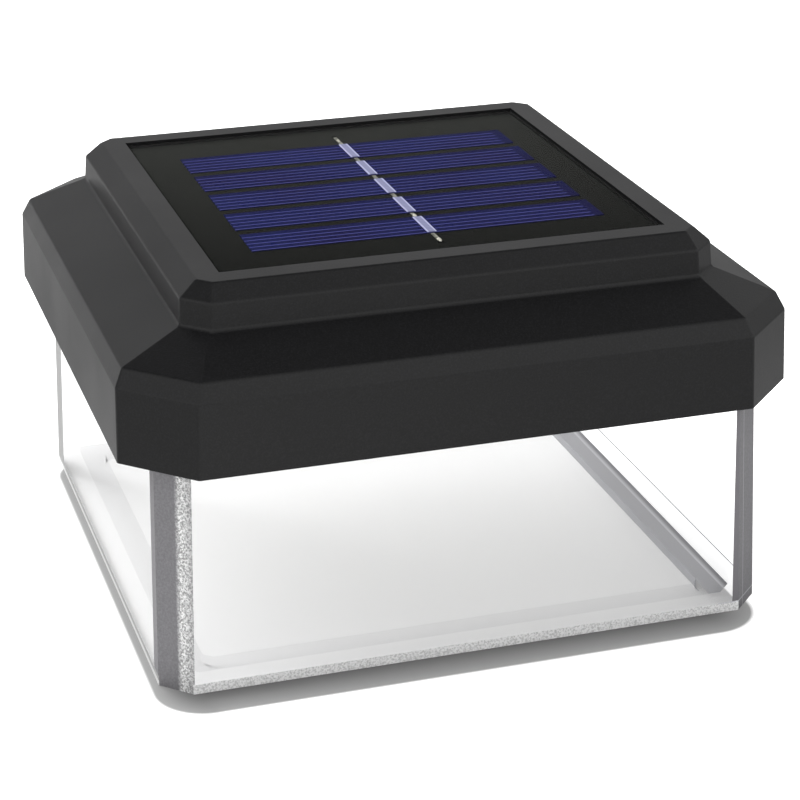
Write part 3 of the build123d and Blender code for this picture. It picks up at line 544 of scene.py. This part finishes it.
# ---------------------------------------------------------------- solder joints
# Hand-soldered drops on the ribbon's bare ends and at one joint between two tabs. Tin solder
# sets bright, with a dull skin where the flux ran.
ribbon_low, ribbon_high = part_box("bus_ribbons")
board_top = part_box("solar_board")[1].z
drop_z = board_top + 0.0001
solder = finish("tin_solder_drop", "#b9b6a2", "#f2f0e4", 0.0005, 0.3, metallic=0.4)
drops = [("solder_front", ribbon_low.y + 0.0004, 0.00042), ("solder_back", ribbon_high.y - 0.0022, 0.0003),
         ("solder_middle", -strip_pitch * 1.5 - 0.0003, 0.00036)]
for name, y, radius in drops:
    bpy.ops.mesh.primitive_uv_sphere_add(segments=16, ring_count=8, radius=radius,
                                         location=(tab_middle, y, drop_z))
    drop = bpy.context.object
    drop.name = name
    bpy.ops.object.mode_set(mode="EDIT")
    bpy.ops.mesh.select_all(action="SELECT")
    bpy.ops.transform.resize(value=(0.8, 1.9, 0.55), center_override=(tab_middle, y, drop_z))
    bpy.ops.mesh.bisect(plane_co=(0, 0, board_top), plane_no=(0, 0, 1), use_fill=True, clear_inner=True)
    bpy.ops.object.mode_set(mode="OBJECT")
    bpy.ops.object.transform_apply(location=True, rotation=True, scale=True)
    bpy.ops.object.shade_smooth_by_angle(angle=math.radians(40))
    drop.data.materials.append(solder)
    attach(drop, "housing")
    bpy.ops.object.select_all(action="DESELECT")

# ---------------------------------------------------------------- sealant and foam tape
# Black silicone run round the board's edge by hand, over foam tape that holds the board down.
dress(["panel_sealant"], finish("black_silicone_run", "#0a0a0a", "#121212", 0.0012, 0.55, ior=1.3))
dress(["panel_tape"], finish("black_polyethylene_foam", "#161616", "#262626", 0.0004, 0.9))

# ---------------------------------------------------------------- base plate and battery door
# White polystyrene mouldings with a satin face that throws the lamps' light outwards.
ps_white = finish("white_polystyrene_moulded", "#e4e4e1", "#efefec", 0.02, 0.35)
dress(["base_plate", "battery_door"], ps_white)

# ---------------------------------------------------------------- gasket, screws and hinge pin
# A punched rubber gasket seals the sleeve to the plate. The screws are zinc-plated steel and
# the hinge pin is drawn stainless wire.
dress(["lens_gasket"], finish("black_rubber_punched", "#171717", "#232323", 0.0008, 0.8))
zinc_steel = finish("zinc_plated_steel_pressed", "#9a9da0", "#b9bcbd", 0.0009, 0.35, metallic=1.0)
dress(["lens_screws", "board_screws", "switch_screws"], zinc_steel)
dress(["hinge_pin"], finish("stainless_wire_drawn", "#a9a9a8", "#bdbdbb", 0.0005, 0.25, metallic=1.0))

# ---------------------------------------------------------------- battery and contacts
# The rechargeable cell has a plain green film sleeve shrunk over a steel can, bare at the
# raised end. Its contacts and spring are nickel-plated strip and wire.
bare_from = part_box("battery_cell")[1].x - 0.0032
jacket, tree, out = new_material("green_film_sleeve_shrunk")
where = put(tree, "TexCoord")
place = put(tree, "SeparateXYZ", {"Vector": where.outputs["Object"]})
shrink = put(tree, "TexNoise", {"Vector": where.outputs["Object"], "Scale": 250.0, "Detail": 2.0})
film = put(tree, "ValToRGB", {"Fac": shrink.outputs["Fac"]})
film.color_ramp.elements[0].color = linear("#2c6b3c")
film.color_ramp.elements[1].color = linear("#3a8450")
bare = put(tree, "Math", {0: place.outputs["X"], 1: bare_from}, operation="GREATER_THAN")
tone = put(tree, "MixRGB", {0: bare.outputs[0], 1: film.outputs[0], 2: linear("#b4b4b2")})
skin = put(tree, "BsdfPrincipled", {"Base Color": tone.outputs[0], "Metallic": bare.outputs[0],
                                    "Roughness": 0.3})
tree.links.new(skin.outputs[0], out.inputs["Surface"])
dress(["battery_cell"], jacket)
nickel = finish("nickel_plated_strip_rolled", "#a5a196", "#c2beb2", 0.0007, 0.3, metallic=1.0)
dress(["contact_positive", "contact_negative", "contact_spring"], nickel)

# ---------------------------------------------------------------- circuit board and its parts
# Green glass-fibre board with a black chip, a wound ferrite choke and a small aluminium can
# that store and step up the cell's voltage for the lamps.
dress(["circuit_board"], finish("green_solder_mask_gloss", "#1d5a33", "#246b3d", 0.0009, 0.3))
chip_half = 0.00251
epoxy_chip, tree, out = new_material("black_epoxy_with_tinned_legs")
where = put(tree, "TexCoord")
place = put(tree, "SeparateXYZ", {"Vector": where.outputs["Object"]})
side = put(tree, "Math", {0: place.outputs["X"]}, operation="ABSOLUTE")
leg = put(tree, "Math", {0: side.outputs[0], 1: chip_half}, operation="GREATER_THAN")
dust = put(tree, "TexNoise", {"Vector": where.outputs["Object"], "Scale": 2500.0, "Detail": 1.0})
black = put(tree, "ValToRGB", {"Fac": dust.outputs["Fac"]})
black.color_ramp.elements[0].color = linear("#161617")
black.color_ramp.elements[1].color = linear("#27272a")
tone = put(tree, "MixRGB", {0: leg.outputs[0], 1: black.outputs[0], 2: linear("#c0c0bb")})
skin = put(tree, "BsdfPrincipled", {"Base Color": tone.outputs[0], "Metallic": leg.outputs[0],
                                    "Roughness": 0.4})
tree.links.new(skin.outputs[0], out.inputs["Surface"])
dress(["driver_chip"], epoxy_chip)
dress(["inductor_core"], finish("ferrite_pressed", "#2b2c2e", "#3a3b3d", 0.0005, 0.6))
turn_pitch = 0.00035
enamel, tree, out = new_material("enamelled_copper_wound")
where = put(tree, "TexCoord")
place = put(tree, "SeparateXYZ", {"Vector": where.outputs["Object"]})
turns = put(tree, "Math", {0: place.outputs["Z"], 1: math.tau / turn_pitch}, operation="MULTIPLY")
turns = put(tree, "Math", {0: turns.outputs[0]}, operation="SINE")
tone = put(tree, "ValToRGB", {"Fac": turns.outputs[0]})
tone.color_ramp.elements[0].color = linear("#8a4420")
tone.color_ramp.elements[1].color = linear("#c9763f")
bump = put(tree, "Bump", {"Height": turns.outputs[0], "Strength": 0.6, "Distance": 0.0001})
skin = put(tree, "BsdfPrincipled", {"Base Color": tone.outputs[0], "Metallic": 0.7, "Roughness": 0.3,
                                    "Normal": bump.outputs[0]})
tree.links.new(skin.outputs[0], out.inputs["Surface"])
dress(["inductor_coil"], enamel)
dress(["capacitor"], finish("aluminium_can_drawn", "#b2b3b5", "#c6c7c9", 0.0006, 0.3, metallic=1.0))

# ---------------------------------------------------------------- lamps
# Four 5 mm white lamps: water-clear epoxy cast round a pale phosphor, on tinned steel leads.
# The epoxy looks milky from below when they are off.
lamp_clear = finish("clear_epoxy_over_phosphor", "#d9dad0", "#ecebd2", 0.0012, 0.08)
dress(["led_lamps"], lamp_clear)
dress(["led_leads"], finish("tinned_steel_lead", "#a8a8a4", "#c1c1bd", 0.0006, 0.35, metallic=1.0))

# ---------------------------------------------------------------- slide switch
# A bent steel frame riveted over a black base, with a moulded nylon slider.
dress(["switch_body"], finish("bright_steel_folded", "#8e9092", "#adafb0", 0.0008, 0.35, metallic=1.0))
dress(["switch_slider"], finish("black_nylon_moulded", "#131314", "#1f1f21", 0.0005, 0.45))

# ---------------------------------------------------------------- wires
# Thin stranded wires in coloured PVC, red for positive and black for negative, yellow to the
# switch. The extruded skin is smooth with a slight haze.
pvc_red = finish("red_pvc_extruded", "#9e1c1c", "#b52626", 0.0015, 0.4)
pvc_black = finish("black_pvc_extruded", "#121212", "#1e1e1e", 0.0015, 0.4)
dress(["solar_wire_positive", "battery_wire_positive"], pvc_red)
dress(["solar_wire_negative", "battery_wire_negative"], pvc_black)
dress(["switch_wires"], finish("yellow_pvc_extruded", "#c9a51c", "#dcb929", 0.0015, 0.4))
